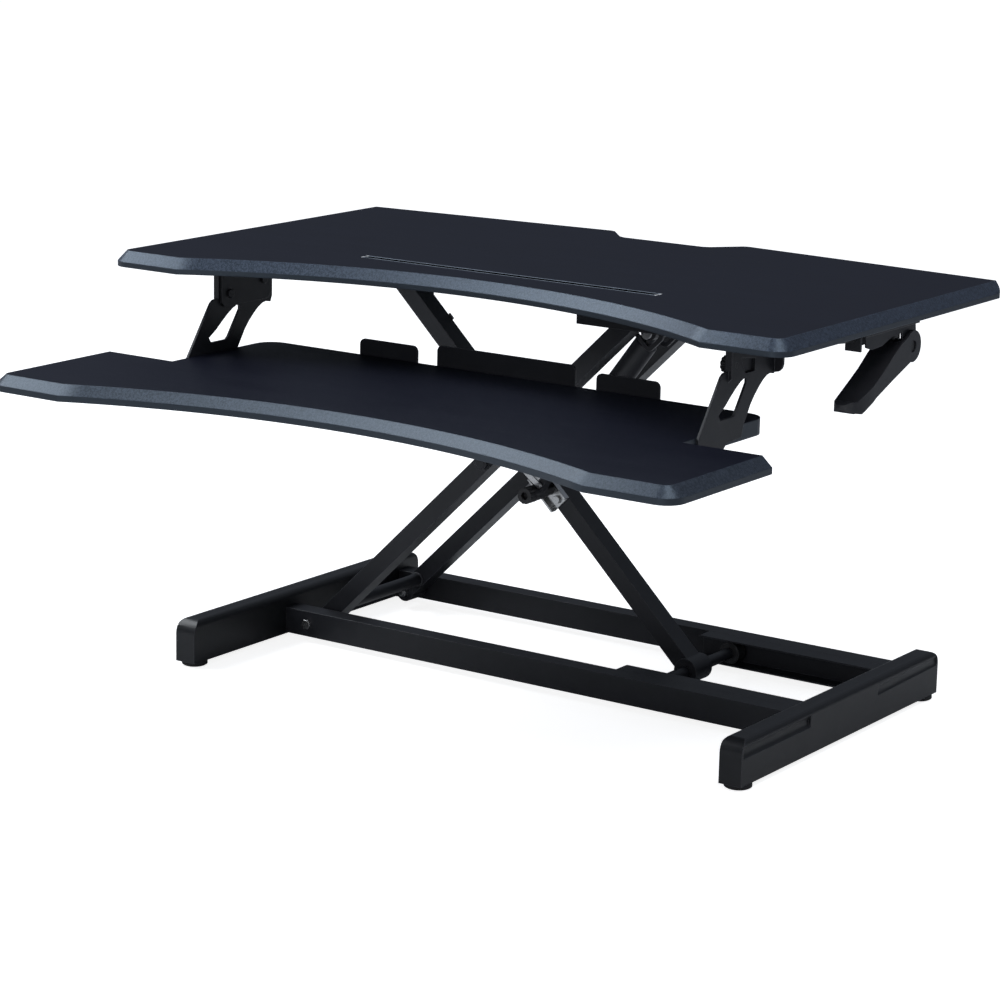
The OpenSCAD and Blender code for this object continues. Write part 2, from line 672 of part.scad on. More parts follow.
// hinge bracket for the centre arm: plate with two cheeks
cheek_outer = 67; // from mid_y
module hinge_bracket() color(BLACK) difference() {
  union() {
    box(hinge[0]-42, hinge[0]+42, mid_y-80, mid_y+80, top_under-frame_plate, top_under);
    front_and_rear() extrude_y(mid_y-cheek_outer, mid_y-cheek_outer+3) {
      translate(hinge) circle(r = 13, $fn = 48);
      polygon([[hinge[0]-13, hinge[1]], [hinge[0]+13, hinge[1]],
        [hinge[0]+30, top_under-2], [hinge[0]-30, top_under-2]]);
    }
  }
  bar(hinge, cheek_outer+3, shaft_radius);
  top_plate_holes();
}
module hinge_pin() color(ZINC) {
  bar(hinge, cheek_outer+2, shaft_radius);
  front_and_rear()
    cyl_y(hinge, mid_y-cheek_outer-2.5, mid_y-cheek_outer, 9, 32);
}
// flat crossbar tying the two upper tracks together at their right end
module frame_crossbar() color(BLACK) difference() {
  box(crossbar_x[0], crossbar_x[1], 50, 2*mid_y-50, top_under-frame_plate, top_under);
  top_plate_holes();
}
module worktop_screws() color(BLACK) top_screw_set(frame_screws);

// ---- keyboard tray brackets ----------------------------------------------
// hangers and brackets lie face to face, meeting in line with the tray's sides
sheet = 3;
joint_x = tray_rear_half;
hanger_x = joint_x - sheet;
bracket_x = joint_x + sheet;
knob_at = [-76, 452.5]; // [y, z]
rear_bolt_at = [-14, 462]; // [y, z]

module hanger_holes()
  for (point = [knob_at, rear_bolt_at]) cyl_x(point, 330, 350, 3.05, 32);
// right hanger: L of sheet under the worktop, inside the bracket plate
module hanger() difference() {
  union() {
    extrude_x(hanger_x, joint_x) polygon([[-91, top_under], [2, top_under],
      [2, 446], [-6, 438], [-86, 438], [-91, 443]]);
    box(309, hanger_x+overlap, -91, 2, top_under-thin_plate, top_under);
  }
  hanger_holes();
  top_plate_holes();
}
module tray_hanger_right() color(BLACK) hanger();
module tray_hanger_left() color(BLACK) at_left() hanger();

// bracket plate in (y, z): upper panel, two legs with a window between them,
// foot along the tray edge
bracket_outline = [[-94, top_under], [6, top_under], [6, 440], [3, 432.5], [-6, 434],
  [-12, 433], [-20, 429], [-28, 423], [-37, 415], [-45, 406], [-52, 395], [-58, 386],
  [-62, 373], [-92, 371.5], [-98, 366], [-150, 366], [-150, 384], [-108, 444],
  [-103, 447.5], [-94, 448.5]];
leg_window = [[-111, 404], [-107, 398], [-80, 398], [-76, 401], [-55, 431], [-55, 435],
  [-59, 437], [-68, 433.5], [-77, 428], [-88, 420], [-98, 412]];
panel_window = [[-68, 459], [-38, 455], [-38, 441.5], [-58, 441.5]];
// flanges turned outwards at the panel's rear and front edges, in (x, z)
rear_flange = [[bracket_x-overlap, 482], [356.5, 482], [356.5, 443], [355, 438.4],
  [351.4, 435], [bracket_x-overlap, 433.8]];
front_flange = [[bracket_x-overlap, 482], [350, 482], [350, 441],
  [bracket_x-overlap, 436.5]];
module bracket() difference() {
  union() {
    extrude_x(joint_x, bracket_x) difference() {
      polygon(bracket_outline);
      polygon(leg_window);
      polygon(panel_window);
    }
    extrude_y(3, 6) polygon(rear_flange);
    extrude_y(-94, -91.5) polygon(front_flange);
    // flange under the tray
    box(319, joint_x+overlap, -150, -98, tray_under-tray_flange, tray_under);
  }
  hanger_holes();
  tray_plate_holes();
}
module tray_bracket_right() color(BLACK) bracket();
module tray_bracket_left() color(BLACK) at_left() bracket();

// round-headed bolt with a hexagon nut on the inner side
module bracket_bolt(point) {
  cyl_x(point, hanger_x-3, bracket_x+3, 3, 32);
  cyl_x(point, bracket_x, bracket_x+2.4, 6, 32);
  cyl_x(point, hanger_x-3, hanger_x, 5.5, 6);
}
// the knob takes the place of the right front bolt
module bracket_bolts() color(BLACK) {
  both_sides() bracket_bolt(rear_bolt_at);
  at_left() bracket_bolt(knob_at);
}
// fluted thumb knob holding the right bracket, on the inner side
module tray_knob() color(PLASTIC) {
  cyl_x(knob_at, 330, bracket_x, 3, 32);
  difference() {
    cyl_x(knob_at, 330, 339.4, 9);
    for (a = [0:36:324]) cyl_x(knob_at + 10*[cos(a), sin(a)], 329, 337, 1.9, 16);
  }
}

// ---- release lever -------------------------------------------------------
lever_at = [126, 457]; // pivot, [y, z]
lever_x0 = 416;
lever_x1 = 448;
lever_wall = 4.2;
lever_pin_radius = 4;
cable_z = 478.4;

// bracket cheek in (y, z)
cheek_outline = [[24, top_under-2], [138, top_under-2], [140, 470], [140, 455], [134, 446],
  [126, 443.5], [117, 447], [110, 457], [108, 474], [84, 472.5], [62, 465.5],
  [40, 464.5], [28, 468]];
module lever_bracket() color(BLACK) difference() {
  union() {
    box(lever_x0, lever_x1, 16, 138, top_under-thin_plate, top_under);
    for (x = [421, 440.5]) extrude_x(x, x+2.5) polygon(cheek_outline);
    // cable stop turned down from the plate
    box(423, 442, 16, 18.5, 465, top_under-2);
  }
  cyl_x(lever_at, 400, 460, lever_pin_radius);
  cyl_y([cable_x, cable_z], 10, 30, 2.6, 32);
  top_plate_holes();
}
module lever_bracket_screws() color(BLACK) top_screw_set(lever_screws);

// paddle side view and underside pocket, in (y, z)
paddle_outline = [[118, 471], [98, 463], [80, 452], [61, 438.7], [44, 429], [29, 420.8],
  [12, 411.5], [7, 400.2], [20, 398], [46, 412.4], [81, 425.8], [121, 440.2]];
pocket_outline = [[103, 425], [103, 455], [81, 444.5], [61, 431.5], [44, 422], [31, 415],
  [31, 396], [46, 405], [81, 418]];
// front corners cut in flats: [x in from the side, y back from the tip]
left_corner = [[10, 0], [5, 1.2], [2, 4], [0, 10]];
right_corner = [[22, 0], [14, 1.4], [8, 5], [4.3, 12], [1.9, 22], [0, 36]];

// cutter for a front corner on the lever's left side
module corner_cut(points) translate([lever_x0, 2.8, 380]) linear_extrude(height = 60)
  polygon(concat([[-1, points[len(points)-1][1]], [-1, -2], [points[0][0], -2]], points));
// paddle closed on top, hollow underneath and round the bracket cheeks
module release_lever() color(BLACK) difference() {
  extrude_x(lever_x0, lever_x1) {
    translate(lever_at) circle(r = 17.5, $fn = 64);
    polygon(paddle_outline);
    translate([9.4, 405.6]) circle(r = 6.3, $fn = 48);
  }
  // room for the bracket cheeks and the spring
  extrude_x(lever_x0+lever_wall, lever_x1-lever_wall)
    translate(lever_at) circle(r = 24, $fn = 64);
  extrude_x(lever_x0+lever_wall, lever_x1-lever_wall) polygon(pocket_outline);
  corner_cut(left_corner);
  translate([lever_x0+lever_x1, 0, 0]) mirror([1, 0, 0]) corner_cut(right_corner);
  cyl_x(lever_at, 400, 460, lever_pin_radius+0.06);
  // recesses for the pin heads
  for (x = [lever_x0-1, lever_x1-2.8]) cyl_x(lever_at, x, x+3.8, 6.6);
}
module lever_pin() color(ZINC) {
  cyl_x(lever_at, 417.8, 446.2, lever_pin_radius);
  for (x = [417.6, 445.25]) cyl_x(lever_at, x, x+1.15, 6, 32);
}
// torsion spring round the pin between the cheeks: a row of rings and two upright ends
module lever_spring() color(ZINC) {
  first_x = 426.8;
  pitch = 2.1;
  coil_radius = 5.6;
  for (i = [0:5])
    translate([first_x+i*pitch, lever_at[0], lever_at[1]]) rotate([0, 90, 0])
      rotate_extrude($fn = 48) translate([coil_radius, 0]) circle(r = 1.15, $fn = 24);
  for (end = [[first_x, coil_radius], [first_x+5*pitch, -coil_radius]])
    cyl_z([end[0], lever_at[0]+end[1]], lever_at[1], lever_at[1]+14, 1.1, 24);
}

// ---- release cable -------------------------------------------------------
cable_radius = 2.5;
cable_bend = 25;
bend_y = 5; // centres of the bends in front of the lever
run_y = bend_y + cable_bend; // the long run along X
run_x0 = -237;
cable_end_x = run_x0 - cable_bend;

// quarter bend round [x, y], in the quadrant given by the signs
module quarter(x, y, sign_x, sign_y) translate([x, y, cable_z]) intersection() {
  rotate_extrude($fn = 64) translate([cable_bend, 0]) circle(r = cable_radius, $fn = 24);
  translate([min(0, sign_x)*40, min(0, sign_y)*40, -5]) cube([40, 40, 10]);
}
// fixed run under the worktop: straight lengths and quarter bends
module release_cable() color(RUBBER) {
  u_bend_x = cable_x - cable_bend;
  run_x1 = u_bend_x - 2*cable_bend;
  cyl_y([cable_x, cable_z], bend_y, 24, cable_radius, 24);
  // ferrules on both sides of the cable stop
  cyl_y([cable_x, cable_z], 11.2, 15.9, 3, 24);
  cyl_y([cable_x, cable_z], 18.6, 23, 3, 24);
  quarter(u_bend_x, bend_y, 1, -1);
  quarter(u_bend_x, bend_y, -1, -1);
  quarter(run_x1, bend_y, 1, 1);
  cyl_x([run_y, cable_z], run_x0, run_x1, cable_radius, 24);
  quarter(run_x0, run_y+cable_bend, -1, -1);
  cyl_y([cable_end_x, cable_z], run_y+cable_bend, 108, cable_radius, 24);
}
// clip under the worktop for a cable along X
module clip() difference() {
  half = 5;
  union() {
    box(-half, half, -4, 12, top_under-2, top_under);
    box(-half, half, -3.8, 3.8, cable_z, top_under-1);
    cyl_x([0, cable_z], -half, half, 4.2, 32);
  }
  cyl_x([0, cable_z], -half-1, half+1, cable_radius+0.05, 32);
}
module cable_clips() color(BLACK) {
  for (x = [-200:135:340]) translate([x, run_y, 0]) clip();
  translate([cable_end_x, 86, 0]) rotate([0, 0, 90]) clip();
}

foot_left();
foot_right();
rubber_feet();
front_rail();
rear_rail();
rail_bolts();
lower_track_front();
lower_track_rear();
lower_pivot_bolts();
lower_pivot_nuts();
outer_arm_front();
outer_arm_rear();
lower_cross_tube();
upper_cross_tube();
centre_pivot_shaft();
centre_pivot_nuts();
upper_axle();
centre_arm();
centre_bushes();
lower_axle();
upper_hinge_tube();
spring_bracket();
spring_bracket_bolts();
lower_roller_front();
lower_roller_rear();
upper_roller_front();
upper_roller_rear();
gas_cylinder();
gas_top_eye();
gas_top_pin();
gas_rod();
gas_rod_end();
spring_pin();
release_arm();
release_arm_pin();
worktop();
upper_track_front();
upper_track_rear();
hinge_bracket();
hinge_pin();
frame_crossbar();
worktop_screws();
tray_hanger_left();
tray_hanger_right();
tray_bracket_left();
tray_bracket_right();
bracket_bolts();
tray_knob();
keyboard_tray();
tray_stops();
tray_screws();
lever_bracket();
lever_bracket_screws();
release_lever();
lever_pin();
lever_spring();
release_cable();
cable_clips();
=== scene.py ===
import bmesh
import bpy
import json
import math
from collections import namedtuple

import numpy as np
from mathutils import Matrix, Vector


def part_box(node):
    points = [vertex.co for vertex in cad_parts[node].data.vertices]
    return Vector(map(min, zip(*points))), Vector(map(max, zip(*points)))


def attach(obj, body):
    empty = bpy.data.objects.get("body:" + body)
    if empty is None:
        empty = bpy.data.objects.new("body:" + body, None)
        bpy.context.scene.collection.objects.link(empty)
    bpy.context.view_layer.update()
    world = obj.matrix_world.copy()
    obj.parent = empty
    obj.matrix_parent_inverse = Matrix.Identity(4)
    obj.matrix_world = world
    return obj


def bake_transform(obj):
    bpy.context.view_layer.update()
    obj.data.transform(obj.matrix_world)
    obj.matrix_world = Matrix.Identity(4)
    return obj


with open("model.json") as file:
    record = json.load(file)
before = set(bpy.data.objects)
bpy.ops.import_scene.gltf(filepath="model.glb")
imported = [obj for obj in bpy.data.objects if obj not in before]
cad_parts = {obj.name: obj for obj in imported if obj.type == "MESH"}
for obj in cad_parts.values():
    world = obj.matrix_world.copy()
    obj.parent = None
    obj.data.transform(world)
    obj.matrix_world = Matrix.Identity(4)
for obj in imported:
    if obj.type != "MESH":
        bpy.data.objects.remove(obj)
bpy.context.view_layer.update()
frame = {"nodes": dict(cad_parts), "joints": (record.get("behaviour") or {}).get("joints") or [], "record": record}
joints = {joint["name"]: Vector(joint["pos_m"]) for joint in frame["joints"]
          if joint["name"] in ("top_hinge", "upper_front_roller_spin")}


# ---------------------------------------------------------------- node helpers
class Graph:
    """A node tree with short ways to add and join nodes."""

    def __init__(self, tree):
        self.tree = tree

    def put(self, value, socket):
        """Link an output to the socket, or set its value; colours are RGB."""
        if isinstance(value, bpy.types.NodeSocket):
            self.tree.links.new(value, socket)
        else:
            socket.default_value = (*value, 1) if socket.type == "RGBA" else value

    def fill(self, node, inputs):
        for key, value in inputs.items():
            self.put(value, node.inputs[key])

    def add(self, kind, inputs=None, **settings):
        node = self.tree.nodes.new(kind)
        for key, value in settings.items():
            setattr(node, key, value)
        self.fill(node, inputs or {})
        return node


class Shader(Graph):
    """A new material with one Principled surface and object coordinates."""

    def __init__(self, name):
        self.material = bpy.data.materials.new(name)
        self.material.use_nodes = True
        super().__init__(self.material.node_tree)
        self.tree.nodes.clear()
        self.output = self.add("ShaderNodeOutputMaterial")
        self.bsdf = self.add("ShaderNodeBsdfPrincipled")
        self.put(self.bsdf.outputs[0], self.output.inputs[0])
        self.coords = self.add("ShaderNodeTexCoord").outputs["Object"]

    def stretched(self, scale):
        """Object coordinates scaled along each axis."""
        inputs = {"Scale": scale, "Vector": self.coords}
        return self.add("ShaderNodeMapping", inputs).outputs[0]

    def separate(self, vector):
        return self.add("ShaderNodeSeparateXYZ", {0: vector}).outputs

    def noise(self, scale, detail=4.0, roughness=0.55, vector=None):
        return self.add("ShaderNodeTexNoise", {
            "Scale": scale, "Detail": detail, "Roughness": roughness,
            "Vector": self.coords if vector is None else vector}).outputs["Fac"]

    def remap(self, value, to=(0.0, 1.0), span=(0.0, 1.0)):
        """Map the range span onto the range to."""
        return self.add("ShaderNodeMapRange", {
            "From Min": span[0], "From Max": span[1],
            "To Min": to[0], "To Max": to[1], "Value": value}).outputs["Result"]

    def mix(self, factor, first, second):
        return self.add("ShaderNodeMix", {"Factor": factor, "A": first, "B": second},
                        data_type="RGBA").outputs["Result"]

    def math(self, operation, *values, clamp=False):
        return self.add("ShaderNodeMath", dict(enumerate(values)),
                        operation=operation, use_clamp=clamp).outputs[0]

    def times(self, first, second, clamp=False):
        return self.math("MULTIPLY", first, second, clamp=clamp)

    def inverse(self, value):
        return self.math("SUBTRACT", 1.0, value)

    def bump(self, height, strength, distance, normal):
        return self.add("ShaderNodeBump", {
            "Strength": strength, "Distance": distance,
            "Height": height, "Normal": normal}).outputs[0]

    def edges(self, radius, gain):
        """A mask that is 1 on edges and 0 elsewhere, and the rounded normal behind it."""
        rounded = self.add("ShaderNodeBevel", {"Radius": radius}, samples=4).outputs[0]
        flat = self.add("ShaderNodeNewGeometry").outputs["True Normal"]
        dot = self.add("ShaderNodeVectorMath", {0: rounded, 1: flat}, operation="DOT_PRODUCT")
        mask = self.times(self.inverse(dot.outputs["Value"]), gain, clamp=True)
        return mask, rounded


def tint(colour, gain, lift=0.0):
    return tuple(min(1, channel * gain + lift) for channel in colour)


# ---------------------------------------------------------------- materials
def powder_coat(name, base, roughness=0.42):
    """Fine powder coat: orange peel, faint dust and a painted highlight along the edges."""
    shader = Shader(name)
    patches = shader.noise(scale=9.0, detail=5)
    peel = shader.noise(scale=900.0, detail=3)
    dust = shader.noise(scale=45.0, detail=8, roughness=0.7)
    edge, normal = shader.edges(radius=0.0012, gain=9.0)
    colour = shader.mix(shader.remap(patches, span=(0.35, 0.7)), base, tint(base, gain=1.35))
    colour = shader.mix(shader.remap(dust, to=(0.0, 0.35), span=(0.5, 0.8)),
                        colour, tint(base, gain=1.8, lift=0.006))
    # Painted highlight: the edges are lightened towards a pale metal grey.
    rim_highlight_colour = (0.26, 0.27, 0.30)
    colour = shader.mix(shader.times(edge, 0.25), colour, rim_highlight_colour)
    dusty = shader.remap(dust, to=(roughness - 0.06, roughness + 0.10))
    shader.fill(shader.bsdf, {
        "Base Color": colour,
        "Roughness": shader.math("ADD", dusty, shader.remap(peel, to=(-0.03, 0.03))),
        "Specular IOR Level": 0.45,
        "Normal": shader.bump(peel, strength=0.35, distance=0.00012, normal=normal)})
    return shader.material


def metal(name, base, roughness, scratch=0.2, stretch=(1, 1, 1)):
    """Bare metal with fine scratches and a painted highlight on the edges."""
    shader = Shader(name)
    scratches = shader.noise(scale=260.0, detail=4, vector=shader.stretched(stretch))
    patches = shader.noise(scale=30.0, detail=6, roughness=0.65)
    edge, normal = shader.edges(radius=0.0006, gain=6)
    colour = shader.mix(shader.remap(patches, span=(0.3, 0.75)), tint(base, gain=0.72), base)
    # Painted highlight: the edges are lightened.
    colour = shader.mix(shader.times(edge, 0.5), colour, tint(base, gain=1.25))
    shader.fill(shader.bsdf, {
        "Base Color": colour,
        "Metallic": 1.0,
        "Roughness": shader.remap(patches, to=(roughness - 0.08, roughness + 0.12)),
        "Normal": shader.bump(scratches, strength=scratch, distance=0.00006, normal=normal)})
    return shader.material


def plastic(name, base, roughness, grain):
    """Moulded plastic or rubber with a fine cell grain and a painted highlight on the edges."""
    shader = Shader(name)
    cells = shader.add("ShaderNodeTexVoronoi", {"Scale": 700.0, "Vector": shader.coords})
    patches = shader.noise(scale=40.0, detail=6, roughness=0.6)
    edge, normal = shader.edges(radius=0.0008, gain=6)
    colour = shader.mix(shader.remap(patches, span=(0.3, 0.75)),
                        base, tint(base, gain=1.5, lift=0.002))
    # Painted highlight: the edges are lightened.
    colour = shader.mix(shader.times(edge, 0.25), colour, tint(base, gain=2, lift=0.03))
    shader.fill(shader.bsdf, {
        "Base Color": colour,
        "Roughness": shader.remap(patches, to=(roughness - 0.07, roughness + 0.1)),
        "Normal": shader.bump(cells.outputs["Distance"], strength=grain,
                              distance=0.00008, normal=normal)})
    return shader.material


# The device groove runs along X, centred on x = 0; its lips, painted with a pale highlight, show above lip_z.
Groove = namedtuple("Groove", "half_length centre_y half_width lip_z")
WORKTOP_GROOVE = Groove(half_length=0.200, centre_y=-0.001, half_width=0.005, lip_z=0.500)
NO_GROOVE = Groove(half_length=-1.0, centre_y=9.0, half_width=0.0, lip_z=9.0)


def board(name, face, wrap, band, groove):
    """Laminated board: satin face on top, brushed speckled wrap on the bevels, plain edge
    band. face and wrap are pairs of colours."""
    shader = Shader(name)
    times = shader.times

    # Upward normals tell the face (above 0.97) from the bevels (above 0.25).
    true_normal = shader.add("ShaderNodeNewGeometry").outputs["True Normal"]
    normal_z = shader.separate(true_normal)["Z"]
    on_face = shader.math("GREATER_THAN", normal_z, 0.97)
    on_bevel = shader.math("SUBTRACT", shader.math("GREATER_THAN", normal_z, 0.25), on_face)

    # Face: faint mottling plus very fine pores.
    mottle = shader.noise(scale=7.0, detail=6, roughness=0.6,
                          vector=shader.stretched((1.0, 6.0, 1.0)))
    pores = shader.noise(scale=1400.0, detail=2)
    face_colour = shader.mix(shader.remap(mottle, span=(0.3, 0.7)), *face)

    # Painted highlight on the lips along the groove, whiter at its ends; its outer line wanders.
    end_width = 0.0012
    lip_highlight_width = (0.0017, 0.0024)
    position = shader.separate(shader.coords)
    from_centre_x = shader.math("ABSOLUTE", position["X"])
    in_length = shader.math("LESS_THAN", from_centre_x, groove.half_length + end_width)
    from_groove_y = shader.math(
        "ABSOLUTE", shader.math("SUBTRACT", position["Y"], groove.centre_y))
    lip_highlight_noise = shader.noise(scale=60.0, detail=5, roughness=0.7)
    lip_highlight_reach = shader.remap(lip_highlight_noise, to=tuple(groove.half_width + width for width in lip_highlight_width))
    in_width = shader.math("LESS_THAN", from_groove_y, lip_highlight_reach)
    is_high = shader.math("GREATER_THAN", position["Z"], groove.lip_z)
    at_end = shader.math("GREATER_THAN", from_centre_x, groove.half_length - end_width)
    on_lip_highlight = times(times(in_length, in_width), is_high)
    # Painted highlight colours: pale blue-grey along the sides, near white at the ends.
    side_highlight_colour, end_highlight_colour = (0.30, 0.34, 0.40), (0.90, 0.91, 0.93)
    lip_highlight_colour = shader.mix(at_end, side_highlight_colour, end_highlight_colour)
    lip_highlight_strength = shader.remap(lip_highlight_noise, to=(0.55, 1.0), span=(0.35, 0.6))
    face_colour = shader.mix(times(on_lip_highlight, lip_highlight_strength), face_colour, lip_highlight_colour)

    # Wrap: brushed along Z with a fine speckle.
    brush = shader.noise(scale=420.0, detail=5, roughness=0.7,
                         vector=shader.stretched((1.0, 1.0, 0.12)))
    speckle = shader.noise(scale=1300.0, detail=2, roughness=0.7)
    grain = shader.math("ADD", times(speckle, 0.45), times(brush, 0.55))
    wrap_colour = shader.mix(shader.remap(grain, span=(0.435, 0.565)), *wrap)
    colour = shader.mix(on_bevel, shader.mix(on_face, band, face_colour), wrap_colour)
    edge, normal = shader.edges(radius=0.0016, gain=5)
    # Painted highlight: the rounded edges are lightened to a pale blue-grey.
    board_edge_highlight = (0.20, 0.24, 0.30)
    colour = shader.mix(times(edge, 0.15), colour, board_edge_highlight)

    # The groove's walls and floor stay dark: painted shade, near black and without specular.
    wall_margin, lip_height = 0.0002, 0.0016
    groove_shade_colour = (0.0015, 0.0015, 0.002)
    is_low = shader.math("LESS_THAN", position["Z"], groove.lip_z + lip_height)
    in_groove = times(
        shader.math("LESS_THAN", from_groove_y, groove.half_width + wall_margin),
        shader.math("LESS_THAN", from_centre_x, groove.half_length + wall_margin))
    in_groove = times(in_groove, is_low)
    colour = shader.mix(in_groove, colour, groove_shade_colour)

    face_roughness = shader.remap(mottle, to=(0.42, 0.52))
    wrap_roughness = shader.remap(brush, to=(0.30, 0.50))
    wrap_relief = times(shader.math("ADD", brush, times(speckle, 0.5)), on_bevel)
    face_relief = times(pores, times(on_face, 0.25))
    relief = shader.math("ADD", wrap_relief, face_relief)
    shader.fill(shader.bsdf, {
        "Base Color": colour,
        "Roughness": shader.math("ADD", times(face_roughness, on_face),
                                 times(wrap_roughness, shader.inverse(on_face))),
        # Inside the groove the specular is turned off, as part of its painted shade.
        "Specular IOR Level": times(shader.remap(on_face, to=(0.60, 0.20)),
                                    shader.inverse(in_groove)),
        "Specular Tint": (0.66, 0.83, 1.0),
        "Normal": shader.bump(relief, strength=0.40, distance=0.00022, normal=normal)})
    return shader.material


materials = {
    "board": board("board_laminate",
                   face=((0.0048, 0.0050, 0.0112), (0.0068, 0.0072, 0.0145)),
                   wrap=((0.008, 0.011, 0.019), (0.052, 0.066, 0.098)),
                   band=(0.026, 0.030, 0.037), groove=WORKTOP_GROOVE),
    "tray": board("tray_laminate",
                  face=((0.0062, 0.0065, 0.0135), (0.0085, 0.0090, 0.0165)),
                  wrap=((0.006, 0.008, 0.013), (0.048, 0.058, 0.080)),
                  band=(0.022, 0.025, 0.031), groove=NO_GROOVE),
    "steel": powder_coat("frame_powder_coat", base=(0.0115, 0.0120, 0.0150)),
    "foot": powder_coat("foot_powder_coat", base=(0.0085, 0.0090, 0.0105), roughness=0.36),
    "lever": plastic("lever_moulding", base=(0.0130, 0.0130, 0.0160),
                     roughness=0.40, grain=0.30),
    "zinc": metal("zinc_plate", base=(0.60, 0.60, 0.60), roughness=0.26),
    "rod": metal("polished_rod", base=(0.72, 0.73, 0.75), roughness=0.12,
                 scratch=0.05, stretch=(1, 8, 1)),
    "plastic": plastic("black_moulding", base=(0.010, 0.010, 0.011),
                       roughness=0.38, grain=0.25),
    "roller": plastic("roller_nylon", base=(0.018, 0.018, 0.019), roughness=0.33, grain=0.15),
    "pale": plastic("pale_nylon", base=(0.55, 0.55, 0.50), roughness=0.42, grain=0.2),
    "rubber": plastic("rubber", base=(0.012, 0.012, 0.013), roughness=0.75, grain=0.6),
    "cable": plastic("cable_sleeve", base=(0.012, 0.012, 0.013), roughness=0.5, grain=0.3),
}

# ---------------------------------------------------------------- finish of the CAD pieces
SLOT_MATERIAL = {
    "board": "board", "frame_steel": "steel", "zinc_steel": "zinc", "polished_rod": "rod",
    "black_plastic": "plastic", "roller_plastic": "roller", "pale_plastic": "pale",
    "rubber": "rubber"}
# Pieces whose material is not the one their slot gives.
PIECE_MATERIAL = {
    "keyboard_tray": "tray", "foot_left": "foot", "foot_right": "foot",
    "release_lever": "lever", "release_cable": "cable", "lever_pin": "plastic",
    "centre_pivot_shaft": "steel"}
UNBEVELLED = {"lever_spring", "release_cable"}
EDGE_WIDTH = 0.0004
FOOT_EDGE_WIDTH = 0.0009
PIECE_EDGE_WIDTH = {"worktop": 0.0007, "keyboard_tray": 0.0007, "release_lever": 0.0012}
SMOOTH_DEGREES = 26


def add_modifier(piece, name, kind, **settings):
    modifier = piece.modifiers.new(name, kind)
    for key, value in settings.items():
        setattr(modifier, key, value)


def smooth_group(degrees):
    """Geometry nodes: smooth shading except across edges sharper than degrees."""
    group = bpy.data.node_groups.new("smooth_by_angle_%d" % degrees, "GeometryNodeTree")
    for direction in ("INPUT", "OUTPUT"):
        group.interface.new_socket("Geometry", in_out=direction,
                                   socket_type="NodeSocketGeometry")
    graph = Graph(group)
    source = graph.add("NodeGroupInput")
    angle = graph.add("GeometryNodeInputMeshEdgeAngle").outputs["Unsigned Angle"]
    is_sharp = graph.add("FunctionNodeCompare", {0: angle, 1: math.radians(degrees)},
                         data_type="FLOAT", operation="GREATER_THAN")
    smooth = graph.add("GeometryNodeSetShadeSmooth",
                       {"Geometry": source.outputs[0], "Shade Smooth": True}, domain="FACE")
    sharp = graph.add("GeometryNodeSetShadeSmooth",
                      {"Geometry": smooth.outputs[0], "Selection": is_sharp.outputs[0],
                       "Shade Smooth": False}, domain="EDGE")
    graph.add("NodeGroupOutput", {0: sharp.outputs[0]})
    return group


def edge_width(name):
    if name.startswith("foot_"):
        return FOOT_EDGE_WIDTH
    return PIECE_EDGE_WIDTH.get(name, EDGE_WIDTH)


smooth_by_angle = smooth_group(SMOOTH_DEGREES)
piece_slots = {part["node"]: part["material_slot"] for part in frame["record"]["subparts"]}
for name, piece in frame["nodes"].items():
    material_key = PIECE_MATERIAL.get(name, SLOT_MATERIAL[piece_slots[name]])
    piece.data.materials.clear()
    piece.data.materials.append(materials[material_key])
    if name in UNBEVELLED:
        continue
    add_modifier(piece, "weld", "WELD", merge_threshold=1e-6)
    add_modifier(piece, "flats", "DECIMATE", decimate_type="DISSOLVE",
                 angle_limit=math.radians(0.6))
    add_modifier(piece, "edge", "BEVEL", limit_method="ANGLE", angle_limit=math.radians(28),
                 width=edge_width(name), segments=2, use_clamp_overlap=True,
                 harden_normals=False)
    add_modifier(piece, "smooth", "NODES", node_group=smooth_by_angle)
    add_modifier(piece, "flat_normals", "WEIGHTED_NORMAL", keep_sharp=True, weight=60)


# ---------------------------------------------------------------- mesh helpers
def link_object(name, mesh, material):
    mesh.materials.append(material)
    piece = bpy.data.objects.new(name, mesh)
    bpy.context.scene.collection.objects.link(piece)
    return piece


def smooth_object(name, verts, faces, material):
    mesh = bpy.data.meshes.new(name)
    mesh.from_pydata([tuple(vert) for vert in verts], [], faces)
    mesh.update()
    mesh.polygons.foreach_set("use_smooth", [True] * len(mesh.polygons))
    return link_object(name, mesh, material)


def skin(rings, segments, closed):
    """Quads joining each ring of vertices to the next, and the last to the first if closed."""
    faces = []
    for i in range(rings if closed else rings - 1):
        row, next_row = i * segments, (i + 1) % rings * segments
        for k in range(segments):
            k2 = (k + 1) % segments
            faces.append((row + k, row + k2, next_row + k2, next_row + k))
    return faces


# ---------------------------------------------------------------- flexible release cable
CABLE_RADIUS = 0.0025
CORE_RADIUS = 0.0011          # the thin end of the tail
SLEEVE_SHARE = 0.62           # part of the tail's points that keep the full radius


